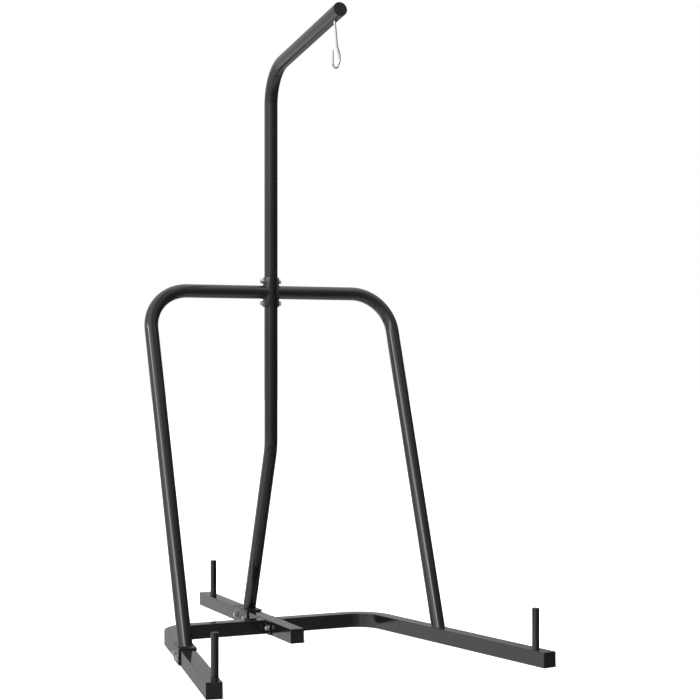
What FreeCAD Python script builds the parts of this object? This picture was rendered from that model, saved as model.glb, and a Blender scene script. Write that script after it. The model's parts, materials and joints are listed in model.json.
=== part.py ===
import FreeCAD, Part
import math
import os

# Free-standing punching bag stand: a bolted tube frame with weight-plate pegs and a hanging hook.
# Millimetres. +Z is up, -Y is the front, which the arm reaches over, and +X is the right-hand side.
# The origin is on the floor, under the centre of the stand's overall box.

# Stock sizes
SQUARE = 50.0
SQUARE_WALL = 2.0
SQUARE_CORNER = 1.5
SQUARE_INNER_CORNER = 0.5
TUBE_R = 24.0
TUBE_WALL = 2.0
PEG_R = 12.0
PEG_WALL = 2.0
PLATE = 5.0

# Base: a straight beam along Y, and two bent rails, each half the back rail and one splayed leg
LEG_REACH = 990.0
BEAM_REAR_REACH = 715.0
BEAM_FRONT_REACH = 249.0
RAIL_Y = (LEG_REACH - BEAM_REAR_REACH) / 2
SPLAY = math.radians(10.3)
LEG_END_X = 568.6
LEG_END_Y = RAIL_Y - LEG_REACH + SQUARE / 2 * math.sin(SPLAY)
LEG_CORNER_X = LEG_END_X - (RAIL_Y - LEG_END_Y) * math.tan(SPLAY)
RAIL_BEND_R = 115.0
MID_Z = SQUARE / 2

# Bolted flanges between the rails and the beam
FLANGE_LENGTH = 132.0
FLANGE_HEIGHT = 48.0
FLANGE_CORNER_R = 4.0
FLANGE_BOLT_SPACING = 92.0

# Weight-plate pegs
PEG_TOP = 185.0
LEG_PEG_FROM_END = 57.0
LEG_PEG_INWARD = 10.5
REAR_PEG_FROM_END = 76.0
REAR_PEG_X = 7.5

# Mast and arm
FOOT_Z = SQUARE + PLATE
MAST_FOOT_BEHIND = 220.0
MAST_KNEE_Z = 668.0
MAST_KNEE_R = 160.0
ARM_CORNER_Z = 2024.0
ARM_CORNER_R = 140.0
ARM_RISE = math.radians(10.0)
ARM_LENGTH = 623.0
SLEEVE_LENGTH = 160.0
SLEEVE_WALL = 2.5

# Hoop: an inverted U whose two halves meet at the mast, plated at the left foot only
HOOP_Z = 1229.0
HOOP_FOOT_AHEAD = 413.0
HOOP_X = LEG_CORNER_X + HOOP_FOOT_AHEAD * math.tan(SPLAY)
HOOP_CORNER_R = 145.0

# Saddles that clasp the mast
SADDLE_HEIGHT = 106.0
SADDLE_WRAP_DEG = 120.0
SADDLE_FIT = 0.1
SADDLE_IN_R = TUBE_R + SADDLE_FIT
SADDLE_OUT_R = SADDLE_IN_R + PLATE
SADDLE_BOLT_SPACING = 80.0

# Foot brackets, over a base tube's top and its left side
BRACKET_BOTTOM_Z = 1.0
BRACKET_BEND_R = 4.0
MAST_BRACKET_FAR_X = 32.0
MAST_BRACKET_LENGTH = 140.0
MAST_BRACKET_BOLT_SPACING = 92.0
MAST_BRACKET_BEHIND_FOOT = 16.0
MAST_BRACKET_Y = RAIL_Y + MAST_FOOT_BEHIND + MAST_BRACKET_BEHIND_FOOT
HOOP_BRACKET_LIP_Z = 46.0
HOOP_BRACKET_LENGTH = 116.0
HOOP_BRACKET_BOLT_SPACING = 76.0
HOOP_BRACKET_BEHIND_FOOT = 3.0
HOOP_BRACKET_Y = RAIL_Y - HOOP_FOOT_AHEAD + HOOP_BRACKET_BEHIND_FOOT

# M10 hardware
BOLT_R = 5.0
HOLE_R = 5.5
NUT_BORE_R = 5.05
HEX_FLATS = 16.0
HEX_CHAMFER = 0.9
HEAD_HEIGHT = 6.4
NUT_HEIGHT = 8.4
WASHER_R = 10.0
WASHER = 2.0
THREAD_SHOWS = 3.0

# Plastic end caps
CAP_FACE = 4.0
CAP_WALL = 3.0
CAP_EDGE_R = 0.8
PLUG_LENGTH = 20.0
PLUG_GAP = 0.1

# Hook, and the pin it swings on
PIN_R = 4.0
PIN_FIT = 0.05
PIN_FROM_TIP = 44.5
SLOT_FROM_TIP = PIN_FROM_TIP + TUBE_R * math.tan(ARM_RISE)
SLOT_LENGTH = 24.0
SLOT_WIDTH = 11.0
WIRE_R = 4.0
EYE_R = PIN_R + PIN_FIT + WIRE_R
# The hook's centreline below the pin, in its own plane: x, z and the bend's radius
HOOK_ROUTE = [
    (0.0, -EYE_R, 0.0),
    (-1.0, -28.0, 60.0),
    (6.5, -104.0, 40.0),
    (15.5, -132.0, 30.0),
    (16.8, -152.0, 16.0),
    (2.2, -191.0, 8.0),
    (-8.9, -165.0, 12.0),
    (-8.9, -120.0, 0.0),
]

ORIGIN = FreeCAD.Vector(0, 0, 0)
ACROSS = FreeCAD.Vector(1, 0, 0)
BACK = FreeCAD.Vector(0, 1, 0)
UP = FreeCAD.Vector(0, 0, 1)
CUTTER = 400.0
SAME_PLACE = 0.01


def vec(x, y, z):
    return FreeCAD.Vector(x, y, z)


def mirrored(shape):
    """The left-hand twin of a right-hand shape."""
    return shape.mirror(ORIGIN, ACROSS)


def rounded_path(points, bends):
    """Straight runs joined by tangent arcs, with one radius for each inner point."""
    edges = []
    start = points[0]
    for before, corner, after, radius in zip(points, points[1:], points[2:], bends):
        inward = (before - corner).normalize()
        outward = (after - corner).normalize()
        half_opening = inward.getAngle(outward) / 2
        setback = radius / math.tan(half_opening)
        middle_offset = radius / math.sin(half_opening) - radius
        middle = corner + (inward + outward).normalize() * middle_offset
        first = corner + inward * setback
        last = corner + outward * setback
        edges.append(Part.LineSegment(start, first).toShape())
        edges.append(Part.Arc(first, middle, last).toShape())
        start = last
    edges.append(Part.LineSegment(start, points[-1]).toShape())
    return Part.Wire(edges)


def round_bar(points, bends, radius):
    """A round bar along a rounded path."""
    ring = Part.Wire([Part.makeCircle(radius, points[0], points[1] - points[0])])
    return rounded_path(points, bends).makePipeShell([ring], True, False)


def round_tube(points, bends):
    """The frame's round tube along a rounded path."""
    return round_bar(points, bends, TUBE_R).cut(round_bar(points, bends, TUBE_R - TUBE_WALL))


def square_outline(centre, direction, half, corner):
    """A rounded square that stands across a level direction."""
    side = direction.cross(UP).normalize()
    flat = half - corner
    diagonal = flat + corner / math.sqrt(2)
    rim = [(half, -flat), (half, flat), (diagonal, diagonal), (flat, half)]
    edges = []
    for quarter in range(4):
        cosine = round(math.cos(quarter * math.pi / 2))
        sine = round(math.sin(quarter * math.pi / 2))
        turned = [(a * cosine - b * sine, a * sine + b * cosine) for a, b in rim]
        low, high, bulge, end = [centre + side * a + UP * b for a, b in turned]
        edges.append(Part.LineSegment(low, high).toShape())
        edges.append(Part.Arc(high, bulge, end).toShape())
    return Part.Wire(edges)


def square_bar(points, bends, half, corner):
    """A rounded square bar along a level rounded path."""
    outline = square_outline(points[0], points[1] - points[0], half, corner)
    return rounded_path(points, bends).makePipeShell([outline], True, False)


def square_tube(points, bends=()):
    """The base's square tube along a level rounded path."""
    outside = square_bar(points, bends, SQUARE / 2, SQUARE_CORNER)
    inside = square_bar(points, bends, SQUARE / 2 - SQUARE_WALL, SQUARE_INNER_CORNER)
    return outside.cut(inside)


def drilled(shape, centres, axis, radius):
    """Straight holes right through a shape."""
    for centre in centres:
        start = centre - axis * (CUTTER / 2)
        shape = shape.cut(Part.makeCylinder(radius, CUTTER, start, axis))
    return shape


def drilled_one_side(shape, centres, axis, radius):
    """Holes through the one wall that lies along the axis from each centre."""
    for centre in centres:
        shape = shape.cut(Part.makeCylinder(radius, CUTTER, centre, axis))
    return shape


def cut_below(shape, height):
    """Trim a leaning tube level, at the plate it stands on."""
    reach = 2 * LEG_REACH
    floor_block = Part.makeBox(reach, reach, CUTTER, vec(-reach / 2, -reach / 2, height - CUTTER))
    return shape.cut(floor_block)


def rims_at(shape, point, normal):
    """The edges that lie in one plane of a shape."""
    return [
        edge for edge in shape.Edges
        if all(abs((vertex.Point - point).dot(normal)) < SAME_PLACE for vertex in edge.Vertexes)
        and abs((edge.CenterOfMass - point).dot(normal)) < SAME_PLACE
    ]


# Places on the right leg ----------------------------------------------------------------------

LEG_DOWN = vec(math.sin(SPLAY), -math.cos(SPLAY), 0)
LEG_OUT = vec(math.cos(SPLAY), math.sin(SPLAY), 0)


def leg_point(y, height):
    """The leg's axis where it crosses a given y."""
    return vec(LEG_CORNER_X + (RAIL_Y - y) * math.tan(SPLAY), y, height)


def leg_end(back, height):
    """The leg's axis a given way back from its end face."""
    return vec(LEG_END_X, LEG_END_Y, height) - LEG_DOWN * back


def to_leg(shape, y):
    """Carry a shape drawn on the origin's Y axis to the right leg."""
    placed = shape.copy()
    placed.rotate(ORIGIN, UP, math.degrees(SPLAY))
    placed.translate(leg_point(y, 0))
    return placed


# Base -----------------------------------------------------------------------------------------

def spaced(centre, spacing, direction):
    return [centre + direction * (side * spacing / 2) for side in (-1, 1)]


def make_rail():
    """Right base rail, one tube bent between the back rail and the leg."""
    back_end = vec(SQUARE / 2 + PLATE, RAIL_Y, MID_Z)
    corner = vec(LEG_CORNER_X, RAIL_Y, MID_Z)
    return square_tube([back_end, corner, leg_end(CAP_FACE, MID_Z)], [RAIL_BEND_R])


def make_drilled_rail():
    """Right-hand form of the rail that carries a foot bracket, drilled in its outer wall."""
    bolts = spaced(leg_point(HOOP_BRACKET_Y, MID_Z), HOOP_BRACKET_BOLT_SPACING, LEG_DOWN)
    return drilled_one_side(make_rail(), bolts, LEG_OUT, HOLE_R)


def make_rail_flange():
    """Plate on the rail's inner end that bolts against the beam."""
    low = vec(SQUARE / 2, RAIL_Y - FLANGE_LENGTH / 2, MID_Z - FLANGE_HEIGHT / 2)
    plate = Part.makeBox(PLATE, FLANGE_LENGTH, FLANGE_HEIGHT, low)
    corners = [edge for edge in plate.Edges if abs(edge.tangentAt(edge.FirstParameter).x) > 0.9]
    plate = plate.makeFillet(FLANGE_CORNER_R, corners)
    return drilled(plate, flange_bolt_points(), ACROSS, HOLE_R)


def flange_bolt_points():
    return spaced(vec(0, RAIL_Y, MID_Z), FLANGE_BOLT_SPACING, BACK)


def make_beam():
    """Centre beam, under the mast and out behind it."""
    front = RAIL_Y - BEAM_FRONT_REACH + CAP_FACE
    rear = RAIL_Y + BEAM_REAR_REACH - CAP_FACE
    beam = square_tube([vec(0, front, MID_Z), vec(0, rear, MID_Z)])
    beam = drilled(beam, flange_bolt_points(), ACROSS, HOLE_R)
    foot_bolts = spaced(vec(0, MAST_BRACKET_Y, MID_Z), MAST_BRACKET_BOLT_SPACING, BACK)
    return drilled_one_side(beam, foot_bolts, -ACROSS, HOLE_R)


def make_square_cap(face_centre, outward):
    """Push-in plastic cap: a rounded face and a hollow plug inside the tube."""
    seat = face_centre - outward * CAP_FACE
    face = square_bar([seat, face_centre], (), SQUARE / 2, SQUARE_CORNER)
    face = face.makeFillet(CAP_EDGE_R, rims_at(face, face_centre, outward))
    plug_half = SQUARE / 2 - SQUARE_WALL - PLUG_GAP
    plug_run = [seat, seat - outward * PLUG_LENGTH]
    plug = square_bar(plug_run, (), plug_half, SQUARE_INNER_CORNER)
    hollow = square_bar(plug_run, (), plug_half - CAP_WALL, SQUARE_INNER_CORNER)
    return face.fuse(plug.cut(hollow)).removeSplitter()


def make_round_cap(face_centre, outward, radius, wall, length):
    """Push-in plastic cap for a round tube."""
    seat = face_centre - outward * CAP_FACE
    face = Part.makeCylinder(radius, CAP_FACE, seat, outward)
    face = face.makeFillet(CAP_EDGE_R, rims_at(face, face_centre, outward))
    plug_r = radius - wall - PLUG_GAP
    plug = Part.makeCylinder(plug_r, length, seat, -outward)
    hollow = Part.makeCylinder(plug_r - CAP_WALL, length, seat, -outward)
    return face.fuse(plug.cut(hollow)).removeSplitter()


def make_peg(foot):
    """Upright tube that weight plates drop over."""
    height = PEG_TOP - CAP_FACE - SQUARE
    outside = Part.makeCylinder(PEG_R, height, foot)
    return outside.cut(Part.makeCylinder(PEG_R - PEG_WALL, height, foot))


def make_peg_cap(foot):
    top = vec(foot.x, foot.y, PEG_TOP)
    return make_round_cap(top, UP, PEG_R, PEG_WALL, PLUG_LENGTH / 2)


# Mast -----------------------------------------------------------------------------------------

SPLICE = vec(0, RAIL_Y, HOOP_Z)
KNEE = vec(0, RAIL_Y, MAST_KNEE_Z)
MAST_FOOT = vec(0, RAIL_Y + MAST_FOOT_BEHIND, FOOT_Z)
ARM_CORNER = vec(0, RAIL_Y, ARM_CORNER_Z)
ARM_OUT = vec(0, -math.cos(ARM_RISE), math.sin(ARM_RISE))
ARM_TIP = ARM_CORNER + ARM_OUT * ARM_LENGTH
PIN_CENTRE = ARM_TIP - ARM_OUT * PIN_FROM_TIP
SADDLE_BOLTS = spaced(SPLICE, SADDLE_BOLT_SPACING, UP)


def past_foot(top, foot):
    """A point further down a leaning tube, so that it can be trimmed level."""
    return foot + (foot - top).normalize() * SQUARE


def make_mast_lower():
    points = [SPLICE, KNEE, past_foot(KNEE, MAST_FOOT)]
    tube = cut_below(round_tube(points, [MAST_KNEE_R]), FOOT_Z)
    return drilled(tube, SADDLE_BOLTS, ACROSS, HOLE_R)


def hook_slot():
    """Cutter for the slot in the arm's underside, with rounded ends."""
    depth = 2 * TUBE_R
    run = SLOT_LENGTH - SLOT_WIDTH
    first = vec(0, SLOT_FROM_TIP - run / 2, -depth)
    cutter = Part.makeBox(SLOT_WIDTH, run, depth, first - ACROSS * (SLOT_WIDTH / 2))
    for end in (first, first + BACK * run):
        cutter = cutter.fuse(Part.makeCylinder(SLOT_WIDTH / 2, depth, end))
    cutter.rotate(ORIGIN, ACROSS, -math.degrees(ARM_RISE))
    return cutter.translated(ARM_TIP)


def make_mast_upper():
    """Upper mast and arm, one bent tube with a slot under the tip for the hook."""
    points = [SPLICE, ARM_CORNER, ARM_TIP - ARM_OUT * CAP_FACE]
    tube = drilled(round_tube(points, [ARM_CORNER_R]), SADDLE_BOLTS, ACROSS, HOLE_R)
    return drilled(tube.cut(hook_slot()), [PIN_CENTRE], ACROSS, PIN_R + PIN_FIT)


def make_splice_sleeve():
    """Liner inside the mast that joins its two lengths."""
    radius = TUBE_R - TUBE_WALL - PLUG_GAP
    bottom = SPLICE - UP * (SLEEVE_LENGTH / 2)
    sleeve = Part.makeCylinder(radius, SLEEVE_LENGTH, bottom)
    sleeve = sleeve.cut(Part.makeCylinder(radius - SLEEVE_WALL, SLEEVE_LENGTH, bottom))
    return drilled(sleeve, SADDLE_BOLTS, ACROSS, HOLE_R)


# Hoop -----------------------------------------------------------------------------------------

def make_hoop_half(foot_z):
    """Right half of the hoop, coped to its saddle and trimmed level at the foot."""
    corner = vec(HOOP_X, RAIL_Y, HOOP_Z)
    foot = vec(HOOP_X, RAIL_Y - HOOP_FOOT_AHEAD, FOOT_Z)
    inner_end = SPLICE + ACROSS * (TUBE_R / 2)
    tube = round_tube([inner_end, corner, past_foot(corner, foot)], [HOOP_CORNER_R])
    cope = Part.makeCylinder(SADDLE_OUT_R, CUTTER, SPLICE - UP * (CUTTER / 2))
    return cut_below(tube.cut(cope), foot_z)


def make_saddle():
    """Curved plate on the hoop's inner end that clasps the right side of the mast."""
    bottom = SPLICE - UP * (SADDLE_HEIGHT / 2)
    saddle = Part.makeCylinder(SADDLE_OUT_R, SADDLE_HEIGHT, bottom, UP, SADDLE_WRAP_DEG)
    saddle.rotate(bottom, UP, -SADDLE_WRAP_DEG / 2)
    saddle = saddle.cut(Part.makeCylinder(SADDLE_IN_R, SADDLE_HEIGHT, bottom))
    return drilled(saddle, SADDLE_BOLTS, ACROSS, HOLE_R)


# Foot brackets --------------------------------------------------------------------------------

def make_bracket(far_edge, length, bolt_spacing):
    """Angle plate over the top and the +X side of a base tube, drawn on the origin's Y axis.

    Its profile starts with the points of the far edge, up to the tube's top.
    """
    inner, outer = SQUARE / 2, SQUARE / 2 + PLATE
    near_side = [(inner, SQUARE), (inner, BRACKET_BOTTOM_Z), (outer, BRACKET_BOTTOM_Z), (outer, FOOT_Z)]
    profile = far_edge + near_side + [(far_edge[0][0], FOOT_Z)]
    corners = [vec(x, -length / 2, z) for x, z in profile]
    angle = Part.Face(Part.makePolygon(corners + corners[:1])).extrude(BACK * length)
    bend = [
        edge for edge in rims_at(angle, UP * FOOT_Z, UP)
        if abs(edge.CenterOfMass.x - outer) < SAME_PLACE
    ]
    return drilled(angle.makeFillet(BRACKET_BEND_R, bend), bracket_bolts(bolt_spacing), ACROSS, HOLE_R)


def make_mast_bracket():
    """Bracket whose top plate ends flat."""
    far_edge = [(-MAST_BRACKET_FAR_X, SQUARE)]
    return make_bracket(far_edge, MAST_BRACKET_LENGTH, MAST_BRACKET_BOLT_SPACING)


def make_hoop_bracket():
    """Bracket whose top plate ends in a short lip, turned down over the tube's far side."""
    inner, outer = SQUARE / 2, SQUARE / 2 + PLATE
    far_edge = [(-outer, HOOP_BRACKET_LIP_Z), (-inner, HOOP_BRACKET_LIP_Z), (-inner, SQUARE)]
    return make_bracket(far_edge, HOOP_BRACKET_LENGTH, HOOP_BRACKET_BOLT_SPACING)


def bracket_bolts(spacing):
    return spaced(vec(0, 0, MID_Z), spacing, BACK)


# Hardware -------------------------------------------------------------------------------------

def hexagon(x, height):
    """Hexagonal block with chamfered corners, along X."""
    corner_r = HEX_FLATS / math.sqrt(3)
    turns = [i * math.pi / 3 for i in range(7)]
    rim = [vec(x, corner_r * math.cos(turn), corner_r * math.sin(turn)) for turn in turns]
    block = Part.Face(Part.makePolygon(rim)).extrude(ACROSS * height)
    barrel = Part.makeCylinder(corner_r, height, vec(x, 0, 0), ACROSS)
    barrel = barrel.makeChamfer(HEX_CHAMFER, [edge for edge in barrel.Edges if edge.Closed])
    return block.common(barrel)


def bored(shape, radius):
    return drilled(shape, [ORIGIN], ACROSS, radius)


def flat_washer(x):
    return bored(Part.makeCylinder(WASHER_R, WASHER, vec(x, 0, 0), ACROSS), HOLE_R)


def arc_washer(radius):
    """Washer flat outside and hollowed inside, to sit on a saddle of a given radius."""
    disc = Part.makeCylinder(WASHER_R, radius + WASHER, ORIGIN, ACROSS)
    return bored(disc.cut(Part.makeCylinder(radius, CUTTER, UP * (-CUTTER / 2))), HOLE_R)


def bolt_and_nut(head_seat, nut_seat):
    """A bolt through the origin along X with its head at -X, and its nut."""
    tail = nut_seat + NUT_HEIGHT + THREAD_SHOWS
    shank = Part.makeCylinder(BOLT_R, tail - head_seat, vec(head_seat, 0, 0), ACROSS)
    shank = shank.makeChamfer(HEX_CHAMFER, rims_at(shank, vec(tail, 0, 0), ACROSS))
    bolt = hexagon(head_seat - HEAD_HEIGHT, HEAD_HEIGHT).fuse(shank).removeSplitter()
    return bolt, bored(hexagon(nut_seat, NUT_HEIGHT), NUT_BORE_R)


def flange_hardware():
    """A bolt through both flanges and the beam."""
    face = SQUARE / 2 + PLATE
    bolt, nut = bolt_and_nut(-face - WASHER, face + WASHER)
    return {"bolts": [bolt], "washers": [flat_washer(face), flat_washer(-face - WASHER)], "nuts": [nut]}


def saddle_hardware():
    """A bolt through both saddles and the mast."""
    washer = arc_washer(SADDLE_OUT_R)
    bolt, nut = bolt_and_nut(-SADDLE_OUT_R - WASHER, SADDLE_OUT_R + WASHER)
    return {"bolts": [bolt], "washers": [washer, mirrored(washer)], "nuts": [nut]}


def foot_hardware():
    """A bolt from outside a foot bracket into a nut welded inside the tube's wall."""
    head_seat = -SQUARE / 2 - PLATE - WASHER
    bolt, nut = bolt_and_nut(head_seat, SQUARE_WALL - SQUARE / 2)
    return {"bolts": [bolt], "washers": [flat_washer(head_seat)], "nuts": [nut]}


def hardware_nodes(joint, hardware, places, to_stand):
    """The bolts, washers and nuts of one joint, each kind a node of separate solids."""
    nodes = {}
    for kind, pieces in hardware.items():
        solids = [to_stand(piece.translated(place)) for place in places for piece in pieces]
        nodes[joint + "_" + kind] = Part.makeCompound(solids)
    return nodes


# Hook -----------------------------------------------------------------------------------------

def make_hook():
    """Bent wire hook hanging in the XZ plane, with an eye turned round the pin."""
    points = [PIN_CENTRE + vec(x, 0, z) for x, z, bend in HOOK_ROUTE]
    bends = [bend for x, z, bend in HOOK_ROUTE[1:-1]]
    wire = round_bar(points, bends, WIRE_R)
    wire = wire.makeFillet(WIRE_R / 3, rims_at(wire, points[-1], UP))
    eye = Part.makeTorus(EYE_R, WIRE_R, PIN_CENTRE, ACROSS)
    return wire.fuse(eye)


def make_hook_pin():
    """Cross pin welded flush in the arm."""
    return Part.makeCylinder(PIN_R, 2 * TUBE_R, PIN_CENTRE - ACROSS * TUBE_R, ACROSS)


# Assembly -------------------------------------------------------------------------------------

def build():
    nodes = {}

    def both_sides(name, shape):
        nodes[name + "_right"] = shape
        nodes[name + "_left"] = mirrored(shape)

    leg_peg_foot = leg_end(LEG_PEG_FROM_END, SQUARE) - LEG_OUT * LEG_PEG_INWARD
    rear_peg_foot = vec(REAR_PEG_X, RAIL_Y + BEAM_REAR_REACH - REAR_PEG_FROM_END, SQUARE)
    beam_front = vec(0, RAIL_Y - BEAM_FRONT_REACH, MID_Z)
    beam_rear = vec(0, RAIL_Y + BEAM_REAR_REACH, MID_Z)
    nodes["base_rail_right"] = make_rail()
    nodes["base_rail_left"] = mirrored(make_drilled_rail())
    both_sides("rail_flange", make_rail_flange())
    both_sides("leg_end_cap", make_square_cap(leg_end(0, MID_Z), LEG_DOWN))
    both_sides("weight_peg", make_peg(leg_peg_foot))
    both_sides("peg_cap", make_peg_cap(leg_peg_foot))
    nodes["centre_beam"] = make_beam()
    nodes["beam_front_cap"] = make_square_cap(beam_front, -BACK)
    nodes["beam_rear_cap"] = make_square_cap(beam_rear, BACK)
    nodes["weight_peg_rear"] = make_peg(rear_peg_foot)
    nodes["peg_cap_rear"] = make_peg_cap(rear_peg_foot)

    nodes["mast_lower"] = make_mast_lower()
    nodes["mast_upper"] = make_mast_upper()
    nodes["mast_splice_sleeve"] = make_splice_sleeve()
    nodes["arm_end_cap"] = make_round_cap(ARM_TIP, ARM_OUT, TUBE_R, TUBE_WALL, PLUG_LENGTH)

    nodes["hoop_half_right"] = make_hoop_half(SQUARE)
    nodes["hoop_half_left"] = mirrored(make_hoop_half(FOOT_Z))
    both_sides("hoop_saddle", make_saddle())

    def at_mast_foot(shape):
        return shape.translated(BACK * MAST_BRACKET_Y)

    def at_hoop_foot(shape):
        return mirrored(to_leg(mirrored(shape), HOOP_BRACKET_Y))

    mast_foot_bolts = bracket_bolts(MAST_BRACKET_BOLT_SPACING)
    hoop_foot_bolts = bracket_bolts(HOOP_BRACKET_BOLT_SPACING)
    nodes["mast_foot_bracket"] = at_mast_foot(mirrored(make_mast_bracket()))
    nodes["hoop_foot_bracket"] = at_hoop_foot(mirrored(make_hoop_bracket()))
    nodes.update(hardware_nodes("mast_foot", foot_hardware(), mast_foot_bolts, at_mast_foot))
    nodes.update(hardware_nodes("hoop_foot", foot_hardware(), hoop_foot_bolts, at_hoop_foot))
    nodes.update(hardware_nodes("flange", flange_hardware(), flange_bolt_points(), mirrored))
    nodes.update(hardware_nodes("saddle", saddle_hardware(), SADDLE_BOLTS, mirrored))

    nodes["hook_pin"] = make_hook_pin()
    nodes["hanging_hook"] = make_hook()
    return nodes


os.makedirs("parts", exist_ok=True)
for node, shape in build().items():
    shape.exportStep("parts/" + node + ".step")
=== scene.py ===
import json
import math
import random

import bmesh
import bpy
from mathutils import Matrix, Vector


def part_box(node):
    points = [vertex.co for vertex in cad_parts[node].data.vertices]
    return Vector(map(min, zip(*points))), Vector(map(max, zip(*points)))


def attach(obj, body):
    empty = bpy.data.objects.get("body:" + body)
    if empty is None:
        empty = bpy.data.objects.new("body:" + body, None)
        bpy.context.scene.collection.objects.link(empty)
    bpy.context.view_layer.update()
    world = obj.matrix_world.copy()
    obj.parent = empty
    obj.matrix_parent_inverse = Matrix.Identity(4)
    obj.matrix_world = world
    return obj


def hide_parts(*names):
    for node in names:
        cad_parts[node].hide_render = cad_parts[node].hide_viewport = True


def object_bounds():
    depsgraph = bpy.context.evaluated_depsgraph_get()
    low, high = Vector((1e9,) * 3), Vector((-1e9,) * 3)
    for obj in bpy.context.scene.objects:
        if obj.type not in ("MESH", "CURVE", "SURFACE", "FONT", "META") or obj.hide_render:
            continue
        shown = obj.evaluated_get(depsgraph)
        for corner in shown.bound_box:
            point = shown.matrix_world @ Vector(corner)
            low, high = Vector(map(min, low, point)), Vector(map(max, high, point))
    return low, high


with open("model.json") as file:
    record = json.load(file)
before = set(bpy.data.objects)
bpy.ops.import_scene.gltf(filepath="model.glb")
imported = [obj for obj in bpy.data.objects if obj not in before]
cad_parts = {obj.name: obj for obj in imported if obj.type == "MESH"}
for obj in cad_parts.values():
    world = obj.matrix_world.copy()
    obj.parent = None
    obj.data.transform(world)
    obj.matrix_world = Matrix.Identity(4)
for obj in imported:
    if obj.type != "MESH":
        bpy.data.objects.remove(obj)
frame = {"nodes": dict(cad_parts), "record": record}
CAD_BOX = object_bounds()
NODES = frame["nodes"]

# Camera: level, on the left of the stand and in front of it, with a long lens
CAMERA_AT = (-2.1226, -5.2023, 0.9925)
CAMERA_TURN = math.radians(24.53)
SENSOR_MM = 36.0
LENS_MM = 81.57
SHIFT_Y = 0.0111

# The floor lies just below the feet, so that their undersides don't touch it
FLOOR_Z = -0.0006
FLOOR_SIZE = 60.0

# Directions on the stand, the feet's places and the tubes' stock sizes
ACROSS = Vector((1, 0, 0))
UP = Vector((0, 0, 1))
SPLAY = math.radians(10.3)
LEFT_LEG_OUT = Vector((-math.cos(SPLAY), math.sin(SPLAY), 0))
MAST_LEAN = math.radians(19.7)
HOOP_LEAN = math.radians(19.4)
MAST_FOOT_Y = 0.3575
HOOP_FOOT_X = 0.4645
HOOP_FOOT_Y = -0.2755
TUBE_R = 0.024
PEG_R = 0.012
SQUARE = 0.050
PLATE = 0.005

# M10 hardware
BOLT_R = 0.005
THREAD_PITCH = 0.0015
THREAD_DEPTH = 0.0007
THREAD_LENGTH = 0.016
THREAD_STEPS_A_TURN = 6
TAIL_CHAMFER = 0.0008
TAIL_INSET = 0.0012
HEX_HALF = 0.008
HEX_FACE_R = 0.95 * HEX_HALF
HEX_CONE = math.radians(30)
HEAD_HEIGHT = 0.0064
HEAD_COLLAR = 0.0004
DISH_RIM = 0.0012
DISH_EDGE = 0.0020
DISH_DEPTH = 0.0003
NUT_HEIGHT = 0.0084
NUT_BORE_R = BOLT_R + 0.00005
NUT_SINK = 0.0007
WASHER_R = 0.010
WASHER = 0.002
WASHER_BORE_R = 0.0055
WASHER_ROLL = 0.0004
TURN_STEPS = 48
HEAD_WAYS = {"flange": ACROSS, "saddle": ACROSS, "mast_foot": -ACROSS, "hoop_foot": LEFT_LEG_OUT}

# Meshes taken from CAD nodes: what counts as one point, one face and a sharp edge,
# and how far a sharp edge is eased
SAME_POINT = 1e-6
ONE_FACE = math.radians(0.5)
SHARP_EDGE = math.radians(50)
EASED = 0.0005

# Weld beads
WELD_R = 0.0016
WELD_PITCH = 0.0020
WELD_STEP = WELD_PITCH / 6
WELD_SIDES = 10
WELD_RIPPLE = 0.10
WELD_SWELL = 0.03
WELD_WAVES = 8
WELD_CRESCENT = 1.1
WELD_END_LEAST = 0.04
WELD_END_POWER = 8
FEWEST_RINGS = 48
FLANGE_WELD_INSET = 0.003
STEEP = 0.9


# Shader nodes ---------------------------------------------------------------------------------

class Graph:
    """A material's or world's node tree, with short calls for the nodes used here."""

    def __init__(self, tree):
        self.tree = tree
        tree.nodes.clear()

    def node(self, kind, settings=None, **inputs):
        made = self.tree.nodes.new(kind)
        for name, value in (settings or {}).items():
            setattr(made, name, value)
        for name, value in inputs.items():
            self.feed(made.inputs[name.replace("_", " ")], value)
        return made

    def feed(self, socket, value):
        if isinstance(value, bpy.types.NodeSocket):
            self.tree.links.new(value, socket)
        else:
            socket.default_value = value

    def math(self, operation, *values):
        made = self.node("ShaderNodeMath", {"operation": operation})
        for socket, value in zip(made.inputs, values):
            self.feed(socket, value)
        return made.outputs[0]

    def noise(self, scale, detail=2.0, stretch=None, roughness=0.5):
        """Noise in the object's own coordinates, in features per metre."""
        place = self.node("ShaderNodeTexCoord").outputs["Object"]
        if stretch:
            place = self.node("ShaderNodeMapping", Vector=place, Scale=stretch).outputs[0]
        made = self.node("ShaderNodeTexNoise", Vector=place, Scale=scale, Detail=detail, Roughness=roughness)
        return made.outputs["Fac"]

    def remap(self, value, low, high, to_low, to_high):
        made = self.node("ShaderNodeMapRange", Value=value)
        for name, number in (("From Min", low), ("From Max", high), ("To Min", to_low), ("To Max", to_high)):
            made.inputs[name].default_value = number
        return made.outputs[0]

    def blend(self, factor, first, second):
        made = self.node("ShaderNodeMix", {"data_type": "RGBA"})
        for index, value in ((0, factor), (6, first), (7, second)):
            self.feed(made.inputs[index], value)
        return made.outputs[2]

    def bump(self, height, strength, distance, normal=None):
        made = self.node("ShaderNodeBump", Height=height, Strength=strength, Distance=distance)
        if normal is not None:
            self.feed(made.inputs["Normal"], normal)
        return made.outputs[0]


def grey(level, warmth=0.0):
    """A near-neutral colour with an alpha of one."""
    return (level * (1 + warmth), level, level * (1 - warmth), 1.0)


def new_material(name):
    made = bpy.data.materials.new(name)
    made.use_nodes = True
    return made, Graph(made.node_tree)


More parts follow.
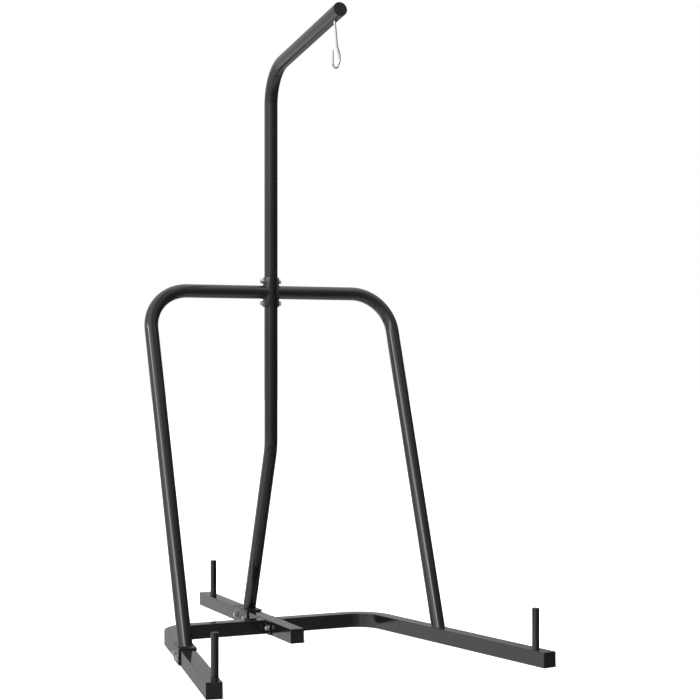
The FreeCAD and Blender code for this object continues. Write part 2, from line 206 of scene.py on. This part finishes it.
def finish_material(graph, colour, roughness, normal, **constants):
    shader = graph.node("ShaderNodeBsdfPrincipled")
    for name, value in (("Base Color", colour), ("Roughness", roughness), ("Normal", normal)):
        graph.feed(shader.inputs[name], value)
    for name, value in constants.items():
        shader.inputs[name.replace("_", " ")].default_value = value
    out = graph.node("ShaderNodeOutputMaterial")
    graph.tree.links.new(shader.outputs[0], out.inputs["Surface"])


def powder_coat(name, level, rough_low, rough_high, peel):
    """Baked black powder coat: fine orange peel, a slight cloudiness and a few dust nibs."""
    made, g = new_material(name)
    cloud = g.noise(7.0, detail=4.0)
    speck = g.noise(900.0, detail=1.0)
    tone = g.blend(g.remap(cloud, 0.3, 0.7, 0.0, 1.0), grey(level * 0.8), grey(level * 1.2, 0.02))
    colour = g.blend(g.remap(speck, 0.62, 0.8, 0.0, 0.5), tone, grey(level * 2.2))
    handled = g.noise(18.0, detail=6.0, roughness=0.65)
    roughness = g.remap(handled, 0.3, 0.75, rough_low, rough_high)
    ripple = g.bump(g.noise(420.0, detail=3.0), peel, 0.0004)
    nibs = g.bump(g.remap(g.noise(160.0, detail=0.0), 0.74, 0.8, 0.0, 1.0), 0.08, 0.0002, ripple)
    finish_material(g, colour, roughness, nibs, IOR=1.5)
    return made


def moulded_plastic(name, level):
    """Black polyethylene with a fine moulded grain, a little dusty."""
    made, g = new_material(name)
    dust = g.noise(35.0, detail=5.0, roughness=0.6)
    colour = g.blend(g.remap(dust, 0.35, 0.75, 0.0, 1.0), grey(level), grey(level * 1.7, 0.03))
    roughness = g.remap(g.noise(60.0, detail=3.0), 0.3, 0.7, 0.28, 0.40)
    grain = g.bump(g.noise(1100.0, detail=2.0), 0.35, 0.0002)
    finish_material(g, colour, roughness, grain, IOR=1.42)
    return made


def zinc_plate(name, level):
    """Bright zinc on steel: faint blue and straw clouds, dull patches and fine scratches."""
    made, g = new_material(name)
    clouds = g.noise(90.0, detail=4.0)
    bluish = (level * 0.97, level, level * 1.04, 1.0)
    colour = g.blend(g.remap(clouds, 0.35, 0.65, 0.0, 1.0), bluish, grey(level, 0.02))
    dull = g.remap(g.noise(240.0, detail=4.0, roughness=0.7), 0.3, 0.7, 0.07, 0.18)
    scratches = g.bump(g.noise(260.0, detail=3.0, stretch=(1.0, 9.0, 1.0)), 0.12, 0.0001)
    finish_material(g, colour, dull, scratches, Metallic=1.0)
    return made


def drawn_wire(name, level):
    """Bright plated wire, a little duller in patches, with faint lines along its length."""
    made, g = new_material(name)
    colour = g.blend(g.noise(60.0, detail=3.0), grey(level * 0.94), grey(level * 1.04, 0.01))
    roughness = g.remap(g.noise(90.0, detail=3.0), 0.3, 0.7, 0.18, 0.26)
    lines = g.bump(g.noise(700.0, detail=2.0, stretch=(1.0, 1.0, 0.03)), 0.04, 0.0001)
    finish_material(g, colour, roughness, lines, Metallic=1.0)
    return made


def bare_steel(name, level):
    """Unpainted welded tube, with a drawn grain and light oxide."""
    made, g = new_material(name)
    oxide = g.remap(g.noise(40.0, detail=6.0, roughness=0.7), 0.45, 0.75, 0.0, 1.0)
    brown = (level * 0.75, level * 0.66, level * 0.58, 1.0)
    colour = g.blend(oxide, grey(level), brown)
    roughness = g.remap(g.noise(300.0, detail=3.0, stretch=(1.0, 1.0, 0.1)), 0.3, 0.7, 0.3, 0.5)
    grain = g.bump(g.noise(700.0, detail=2.0, stretch=(1.0, 1.0, 0.05)), 0.2, 0.0001)
    finish_material(g, colour, roughness, grain, Metallic=1.0)
    return made


MATERIALS = {
    "base_paint": powder_coat("base_paint", level=0.0040, rough_low=0.10, rough_high=0.16, peel=0.035),
    "tube_paint": powder_coat("tube_paint", level=0.0040, rough_low=0.05, rough_high=0.09, peel=0.03),
    "peg_paint": powder_coat("peg_paint", level=0.003, rough_low=0.09, rough_high=0.16, peel=0.04),
    "plate_paint": powder_coat("plate_paint", level=0.0035, rough_low=0.12, rough_high=0.20, peel=0.06),
    "cap_plastic": moulded_plastic("cap_plastic", level=0.0034),
    "zinc_hardware": zinc_plate("zinc_hardware", level=0.44),
    "hook_wire": drawn_wire("hook_wire", level=0.66),
    "bare_sleeve": bare_steel("bare_sleeve", level=0.5),
}
SLOT_OF = {part["node"]: part["material_slot"] for part in frame["record"]["subparts"]}


def paint_cad_nodes():
    for name, node in NODES.items():
        for slot in node.material_slots:
            slot.material = MATERIALS[SLOT_OF[name]]


# Detailed pieces ------------------------------------------------------------------------------

def add_piece(name, mesh, slot, *nodes, body="stand", sharp=40):
    """Turn a finished bmesh into a piece that rides on a body and may stand for CAD nodes."""
    bmesh.ops.recalc_face_normals(mesh, faces=mesh.faces)
    data = bpy.data.meshes.new(name)
    mesh.to_mesh(data)
    mesh.free()
    data.polygons.foreach_set("use_smooth", [True] * len(data.polygons))
    data.set_sharp_from_angle(angle=math.radians(sharp))
    piece = bpy.data.objects.new(name, data)
    bpy.context.scene.collection.objects.link(piece)
    data.materials.append(MATERIALS[slot])
    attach(piece, body)
    if nodes:
        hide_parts(*nodes)


def skin(mesh, rings, closed):
    """Cover rings of equal length with quads. An open skin gets end faces."""
    rows = [[mesh.verts.new(point) for point in ring] for ring in rings]
    pairs = list(zip(rows, rows[1:])) + ([(rows[-1], rows[0])] if closed else [])
    for low, high in pairs:
        for i in range(len(low)):
            j = (i + 1) % len(low)
            mesh.faces.new((low[i], low[j], high[j], high[i]))
    if not closed:
        mesh.faces.new(list(reversed(rows[0])))
        mesh.faces.new(rows[-1])


def hex_r(turn):
    """Radius of the hexagon's outline, with a corner at no turn."""
    return HEX_HALF / math.cos(turn % (math.pi / 3) - math.pi / 6)


def hex_chamfer(turn):
    """How far the hexagon's outline drops where its end is coned off."""
    return (hex_r(turn) - HEX_FACE_R) * math.tan(HEX_CONE)


def thread_r(turn, along):
    """Radius of a rolled thread at a turn and a way along the bolt."""
    phase = (along / THREAD_PITCH - turn / math.tau) % 1
    return BOLT_R - THREAD_DEPTH * abs(2 * phase - 1)


def turned(mesh, base, axis, profile, closed):
    """A shape turned about an axis. Each row gives a radius and a height, as numbers or by turn."""
    side = axis.cross(UP).normalized()
    up = side.cross(axis)
    turns = [math.tau * i / TURN_STEPS for i in range(TURN_STEPS)]
    rings = []
    for radius, height in profile:
        ring = []
        for turn in turns:
            r = radius(turn) if callable(radius) else radius
            h = height(turn) if callable(height) else height
            ring.append(base + axis * h + (side * math.cos(turn) + up * math.sin(turn)) * r)
        rings.append(ring)
    skin(mesh, rings, closed)


def solids_of(node):
    """The points of each separate solid in a CAD node."""
    mesh = bmesh.new()
    mesh.from_mesh(NODES[node].data)
    bmesh.ops.remove_doubles(mesh, verts=mesh.verts, dist=SAME_POINT)
    seen = set()
    solids = []
    for start in mesh.verts:
        if start in seen:
            continue
        seen.add(start)
        group, waiting = [], [start]
        while waiting:
            vert = waiting.pop()
            group.append(vert.co.copy())
            for edge in vert.link_edges:
                other = edge.other_vert(vert)
                if other not in seen:
                    seen.add(other)
                    waiting.append(other)
        solids.append(group)
    mesh.free()
    return solids


def stands_on(points, axis):
    """The middle of a solid's near end along an axis, and its length that way."""
    def span(direction):
        reach = [point.dot(direction) for point in points]
        return min(reach), max(reach)

    side = axis.cross(UP).normalized()
    low, high = span(axis)
    return axis * low + side * (sum(span(side)) / 2) + UP * (sum(span(UP)) / 2), high - low


def bolt(mesh, tail, axis, length):
    """A hexagon-headed bolt, from its threaded tail to its dished head."""
    seat = length - HEAD_HEIGHT
    collar = seat + HEAD_COLLAR
    steps = int(THREAD_LENGTH / THREAD_PITCH * THREAD_STEPS_A_TURN)
    profile = [(BOLT_R - TAIL_INSET, 0.0)]
    for step in range(steps + 1):
        along = TAIL_CHAMFER + THREAD_LENGTH * step / steps
        profile.append((lambda turn, at=along: thread_r(turn, at), along))
    profile += [
        (BOLT_R, THREAD_LENGTH + 2 * TAIL_CHAMFER),
        (BOLT_R, seat),
        (HEX_FACE_R, seat),
        (HEX_FACE_R, collar),
        (hex_r, collar),
        (hex_r, lambda turn: length - hex_chamfer(turn)),
        (HEX_FACE_R, length),
        (HEX_FACE_R - DISH_RIM, length),
        (HEX_FACE_R - DISH_EDGE, length - DISH_DEPTH),
    ]
    turned(mesh, tail, axis, profile, closed=False)


def nut(mesh, base, axis):
    """A hexagon nut, coned at both ends and countersunk."""
    mouth_r = NUT_BORE_R + NUT_SINK
    profile = [
        (mouth_r, 0.0),
        (HEX_FACE_R, 0.0),
        (hex_r, hex_chamfer),
        (hex_r, lambda turn: NUT_HEIGHT - hex_chamfer(turn)),
        (HEX_FACE_R, NUT_HEIGHT),
        (mouth_r, NUT_HEIGHT),
        (NUT_BORE_R, NUT_HEIGHT - NUT_SINK),
        (NUT_BORE_R, NUT_SINK),
    ]
    turned(mesh, base, axis, profile, closed=True)


def washer(mesh, base, axis):
    """A stamped washer, rolled at its upper rims."""
    profile = [
        (WASHER_BORE_R, 0.0),
        (WASHER_R, 0.0),
        (WASHER_R, WASHER - WASHER_ROLL),
        (WASHER_R - WASHER_ROLL, WASHER),
        (WASHER_BORE_R + WASHER_ROLL, WASHER),
        (WASHER_BORE_R, WASHER - WASHER_ROLL),
    ]
    turned(mesh, base, axis, profile, closed=True)


def make_fasteners():
    """Bolts, and the nuts and washers that can be seen, in place of the CAD's plain ones."""
    for joint, head_way in HEAD_WAYS.items():
        bolts = bmesh.new()
        for points in solids_of(joint + "_bolts"):
            tail, length = stands_on(points, head_way)
            bolt(bolts, tail, head_way, length)
        add_piece(joint + "_threaded_bolts", bolts, "zinc_hardware", joint + "_bolts")
    for joint in ("flange", "saddle"):
        nuts = bmesh.new()
        nut_way = -HEAD_WAYS[joint]
        for points in solids_of(joint + "_nuts"):
            nut(nuts, stands_on(points, nut_way)[0], nut_way)
        add_piece(joint + "_coned_nuts", nuts, "zinc_hardware", joint + "_nuts")
    for joint in ("flange", "mast_foot", "hoop_foot"):
        washers = bmesh.new()
        head_way = HEAD_WAYS[joint]
        for points in solids_of(joint + "_washers"):
            outward = head_way if sum(point.dot(head_way) for point in points) > 0 else -head_way
            washer(washers, stands_on(points, outward)[0], outward)
        add_piece(joint + "_rolled_washers", washers, "zinc_hardware", joint + "_washers")


# Eased plates ---------------------------------------------------------------------------------

def soften(node, slot):
    """A copy of a CAD node with its sharp edges eased."""
    mesh = bmesh.new()
    mesh.from_mesh(NODES[node].data)
    bmesh.ops.remove_doubles(mesh, verts=mesh.verts, dist=SAME_POINT)
    bmesh.ops.dissolve_limit(mesh, angle_limit=ONE_FACE, verts=mesh.verts, edges=mesh.edges)
    sharp = [edge for edge in mesh.edges if edge.is_manifold and edge.calc_face_angle() > SHARP_EDGE]
    bmesh.ops.bevel(mesh, geom=sharp, offset=EASED, offset_type="OFFSET", segments=2, profile=0.5,
                    affect="EDGES", clamp_overlap=True)
    add_piece(node + "_eased", mesh, slot, node)


# Weld beads -----------------------------------------------------------------------------------

def weld_bead(mesh, path, closed, seed):
    """A round bead along a dense path, with the crescent ripples of a hand weld."""
    dice = random.Random(seed)
    count = len(path)
    travelled = [0.0]
    for before, after in zip(path, path[1:]):
        travelled.append(travelled[-1] + (after - before).length)
    waves = [dice.uniform(-1.0, 1.0) for _ in range(WELD_WAVES)]
    rings = []
    for i, point in enumerate(path):
        after = path[(i + 1) % count] if closed else path[min(i + 1, count - 1)]
        before = path[i - 1] if closed else path[max(i - 1, 0)]
        tangent = (after - before).normalized()
        side = tangent.cross(UP if abs(tangent.z) < STEEP else ACROSS).normalized()
        up = side.cross(tangent)
        share = travelled[i] / travelled[-1]
        swells = [wave * math.sin(math.tau * (k + 1) * share + k) for k, wave in enumerate(waves)]
        swell = WELD_SWELL * sum(swells)
        fullness = max(WELD_END_LEAST, 1 - (2 * share - 1) ** WELD_END_POWER)
        taper = 1.0 if closed else math.sqrt(fullness)
        ring = []
        for k in range(WELD_SIDES):
            turn = math.tau * k / WELD_SIDES
            lag = WELD_CRESCENT * math.cos(turn)
            ripple = WELD_RIPPLE * math.sin(math.tau * travelled[i] / WELD_PITCH - lag)
            reach = WELD_R * taper * (1 + swell + ripple)
            ring.append(point + (side * math.cos(turn) + up * math.sin(turn)) * reach)
        rings.append(ring)
    skin(mesh, rings, closed)


def add_weld(name, paths, slot, closed=True):
    mesh = bmesh.new()
    for seed, path in enumerate(paths):
        weld_bead(mesh, path, closed, name + str(seed))
    add_piece(name, mesh, slot, sharp=80)


def loop(at, length):
    """Points along a closed curve given by its turn, dense enough to carry the ripples."""
    count = max(FEWEST_RINGS, int(length / WELD_STEP))
    return [at(math.tau * i / count) for i in range(count)]


def level_ring(centre, half_x, half_y):
    """A level ellipse, where an upright or leaning tube stands on a flat face."""
    def at(turn):
        return centre + Vector((half_x * math.cos(turn), half_y * math.sin(turn), 0))

    return loop(at, math.tau * half_x)


def peg_seam(peg):
    low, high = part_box(peg)
    foot = Vector(((low[0] + high[0]) / 2, (low[1] + high[1]) / 2, low[2]))
    return level_ring(foot, PEG_R, PEG_R)


def mast_foot_seam():
    foot = Vector((0, MAST_FOOT_Y, SQUARE + PLATE))
    return level_ring(foot, TUBE_R, TUBE_R / math.cos(MAST_LEAN))


def hoop_foot_seam(sign):
    """The hoop stands on its bracket at the left, and lower, on the bare rail, at the right."""
    rise = PLATE if sign < 0 else 0.0
    slide = (PLATE - rise) * math.tan(HOOP_LEAN)
    foot = Vector((sign * HOOP_FOOT_X, HOOP_FOOT_Y - slide, SQUARE + rise))
    return level_ring(foot, TUBE_R, TUBE_R / math.cos(HOOP_LEAN))


def flange_seams(side, sign):
    """Two upright seams, where a rail's front and back walls meet its flange."""
    low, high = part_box("rail_flange_" + side)
    face = high[0] if sign > 0 else low[0]
    middle_y = (low[1] + high[1]) / 2
    count = int((SQUARE - 2 * FLANGE_WELD_INSET) / WELD_STEP)
    starts = [Vector((face, middle_y + edge * SQUARE / 2, FLANGE_WELD_INSET)) for edge in (-1, 1)]
    return [[start + UP * (i * WELD_STEP) for i in range(count)] for start in starts]


def saddle_seam(side, sign):
    """The seam round the hoop's tube, on the curved face of its saddle."""
    low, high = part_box("hoop_saddle_" + side)
    centre = Vector((0, (low[1] + high[1]) / 2, (low[2] + high[2]) / 2))
    outer_r = high[0] if sign > 0 else -low[0]

    def at(turn):
        across = TUBE_R * math.cos(turn)
        out = math.sqrt(outer_r ** 2 - across ** 2)
        return centre + Vector((sign * out, across, TUBE_R * math.sin(turn)))

    return loop(at, math.tau * TUBE_R)


def make_welds():
    """Beads where the pegs, feet, flanges and saddles are welded."""
    for place in ("left", "right", "rear"):
        peg = "weight_peg_" + place
        add_weld(peg + "_weld", [peg_seam(peg)], "peg_paint")
    add_weld("mast_foot_weld", [mast_foot_seam()], "tube_paint")
    for side, sign in (("left", -1), ("right", 1)):
        add_weld("hoop_foot_weld_" + side, [hoop_foot_seam(sign)], "tube_paint")
        add_weld("rail_flange_weld_" + side, flange_seams(side, sign), "base_paint", closed=False)
        add_weld("hoop_saddle_weld_" + side, [saddle_seam(side, sign)], "tube_paint")


# Studio ---------------------------------------------------------------------------------------

# The studio's glow round the stand, as rows of an azimuth in degrees and a light.
# Azimuth 0 is in front, 90 on the left and 180 behind.
DEEP_GLOW = [
    (-180, 1.10), (-150, 0.50), (-110, 0.12), (-70, 0.10), (-22, 0.16), (0, 0.20), (18, 0.35),
    (46, 0.90), (64, 1.20), (101, 1.50), (123, 1.40), (155, 1.55), (180, 1.10),
]
LOW_GLOW = [
    (-180, 0.42), (-150, 0.30), (-110, 0.10), (-70, 0.10), (-45, 0.15), (-22, 0.20), (-5, 0.22),
    (6, 0.38), (26, 0.50), (33, 1.15), (62, 1.15), (74, 1.45), (123, 1.32), (137, 1.17),
    (147, 1.45), (157, 0.98), (163, 1.00), (180, 0.42),
]
LEVEL_GLOW = [
    (-180, 0.40), (-162, 0.20), (-120, 0.05), (-70, 0.05), (-50, 0.09), (-27, 0.11), (-9, 0.17),
    (0, 0.24), (9, 0.36), (29, 0.42), (40, 1.02), (62, 1.15), (101, 1.0), (125, 0.85),
    (153, 0.85), (165, 0.60), (180, 0.40),
]
HIGH_GLOW = [
    (-180, 0.55), (-155, 0.52), (-149, 0.35), (-130, 0.20), (-98, 0.14), (-52, 0.15), (-35, 0.18),
    (-18, 0.27), (-2, 0.40), (14, 0.66), (30, 0.80), (42, 1.65), (64, 1.75), (98, 1.40),
    (121, 1.15), (150, 1.15), (163, 1.05), (180, 0.55),
]
TOP_GLOW = [
    (-180, 0.68), (-166, 0.58), (-150, 0.34), (-110, 0.15), (-78, 0.15), (-50, 0.28), (-26, 0.33),
    (-6, 0.50), (8, 0.80), (18, 1.5), (30, 2.0), (70, 2.7), (85, 2.2), (100, 1.7), (125, 1.1),
    (155, 0.80), (180, 0.68),
]
OVERHEAD_GLOW = [
    (-180, 1.75), (-62, 1.75), (-40, 1.60), (-22, 1.30), (0, 0.45), (22, 0.75), (42, 1.50),
    (60, 1.75), (180, 1.75),
]
FLOOR_GLOW = 0.95
GAP_GLOW = 0.25
STRIP_GLOW = 9.0
STRIP_END_GLOW = 22.0

# Elevations in degrees: where the first five tables hold, and where the other parts of the
# studio fade in, from nothing to full
DEEP = -22
LOW = -8
LEVEL = -1
HIGH = 8
TOP = 20
DEEP_FADE = (-16, DEEP)
GAP_TOP_FADE = (-14, -15)
GAP_BASE_FADE = (-19, -18)
OVERHEAD_FADE = (24, 60)
FLOOR_FADE = (-34, -64)
STRIP_BASE_FADE = (22.5, 24.0)
STRIP_TOP_FADE = (27.5, 26.0)

# Azimuths in degrees between which the bright strip and its brighter end fade in
STRIP_FRONT_FADE = (22, 30)
STRIP_REAR_FADE = (98, 90)
STRIP_END_FADE = (75, 80)


def make_world():
    """White to the camera, and a soft studio to everything else.

    The studio is bright at the left and overhead and dark at the right, with a darker gap below
    the horizon and a bright strip above it at the left.
    """
    world = bpy.data.worlds.new("studio")
    bpy.context.scene.world = world
    world.use_nodes = True
    g = Graph(world.node_tree)
    direction = g.node("ShaderNodeTexCoord").outputs["Generated"]
    axes = g.node("ShaderNodeSeparateXYZ", Vector=direction).outputs
    leftward = g.math("MULTIPLY", axes[0], -1.0)
    forward = g.math("MULTIPLY", axes[1], -1.0)
    around = g.remap(g.math("ARCTAN2", leftward, forward), -math.pi, math.pi, 0.0, 1.0)
    rise = g.math("ARCSINE", axes[2])

    def glow(stops):
        """The light from a table of azimuths."""
        made = g.node("ShaderNodeValToRGB", Fac=around)
        ramp = made.color_ramp
        while len(ramp.elements) < len(stops):
            ramp.elements.new(0.5)
        for element, (degrees, light) in zip(ramp.elements, stops):
            element.position = (degrees + 180) / 360
            element.color = grey(light)
        return made.outputs[0]

    def past(start, end):
        """How far the direction has risen, or sunk, from one elevation to another."""
        return g.remap(rise, math.radians(start), math.radians(end), 0.0, 1.0)

    def round_to(start, end):
        """How far the direction has turned from one azimuth to another."""
        return g.remap(around, (start + 180) / 360, (end + 180) / 360, 0.0, 1.0)

    light = g.blend(past(LEVEL, HIGH), glow(LEVEL_GLOW), glow(HIGH_GLOW))
    light = g.blend(past(HIGH, TOP), light, glow(TOP_GLOW))
    light = g.blend(past(LEVEL, LOW), light, glow(LOW_GLOW))
    light = g.blend(past(*DEEP_FADE), light, glow(DEEP_GLOW))
    gap = g.math("MULTIPLY", past(*GAP_TOP_FADE), past(*GAP_BASE_FADE))
    light = g.blend(gap, light, grey(GAP_GLOW))
    light = g.blend(past(*OVERHEAD_FADE), light, glow(OVERHEAD_GLOW))
    light = g.blend(past(*FLOOR_FADE), light, grey(FLOOR_GLOW))
    strip = g.math("MULTIPLY", past(*STRIP_BASE_FADE), past(*STRIP_TOP_FADE))
    strip = g.math("MULTIPLY", strip, round_to(*STRIP_FRONT_FADE))
    strip = g.math("MULTIPLY", strip, round_to(*STRIP_REAR_FADE))
    strip_light = g.blend(round_to(*STRIP_END_FADE), grey(STRIP_GLOW), grey(STRIP_END_GLOW))
    light = g.blend(strip, light, strip_light)
    seen = g.node("ShaderNodeLightPath").outputs["Is Camera Ray"]
    sky = g.node("ShaderNodeBackground", Color=g.blend(seen, light, grey(1.0)))
    out = g.node("ShaderNodeOutputWorld")
    g.tree.links.new(sky.outputs[0], out.inputs["Surface"])


def make_floor():
    """A pale floor, left out of reflections so that the gloss shows the soft studio instead."""
    bpy.ops.mesh.primitive_plane_add(size=FLOOR_SIZE, location=(0, 0, FLOOR_Z))
    floor = bpy.context.object
    floor.name = "floor"
    made, g = new_material("floor_pale")
    colour = g.blend(g.noise(0.8, detail=2.0), grey(0.90), grey(0.92))
    finish_material(g, colour, 0.9, (0.0, 0.0, 0.0), Emission_Color=grey(1.0), Emission_Strength=0.3)
    floor.data.materials.append(made)
    floor.visible_glossy = False


def add_light(name, azimuth, rise, distance, width, height, power):
    """A soft panel aimed at the middle of the stand. Azimuth 0 is in front, 90 on the left."""
    data = bpy.data.lights.new(name, "AREA")
    data.shape = "RECTANGLE"
    data.size = width
    data.size_y = height
    data.energy = power
    lamp = bpy.data.objects.new(name, data)
    bpy.context.scene.collection.objects.link(lamp)
    low, high = CAD_BOX
    middle = (low + high) / 2
    turn, lift = math.radians(azimuth), math.radians(rise)
    away = Vector((-math.sin(turn) * math.cos(lift), -math.cos(turn) * math.cos(lift), math.sin(lift)))
    lamp.location = middle + away * distance
    lamp.rotation_euler = away.to_track_quat("Z", "Y").to_euler()
    lamp.visible_camera = False
    lamp.visible_glossy = False


def make_camera():
    data = bpy.data.cameras.new("camera")
    data.sensor_width = SENSOR_MM
    data.lens = LENS_MM
    data.shift_y = SHIFT_Y
    camera = bpy.data.objects.new("camera", data)
    bpy.context.scene.collection.objects.link(camera)
    camera.location = CAMERA_AT
    camera.rotation_euler = (math.pi / 2, 0, -CAMERA_TURN)
    bpy.context.scene.camera = camera


make_camera()
make_world()
make_floor()
add_light("key_panel", azimuth=62, rise=48, distance=5.0, width=2.5, height=2.5, power=260)
paint_cad_nodes()
make_fasteners()
for node in ("mast_foot_bracket", "hoop_foot_bracket", "rail_flange_left", "rail_flange_right",
             "hoop_saddle_left", "hoop_saddle_right"):
    soften(node, "plate_paint")
make_welds()

bpy.context.scene.view_settings.view_transform = "Standard"
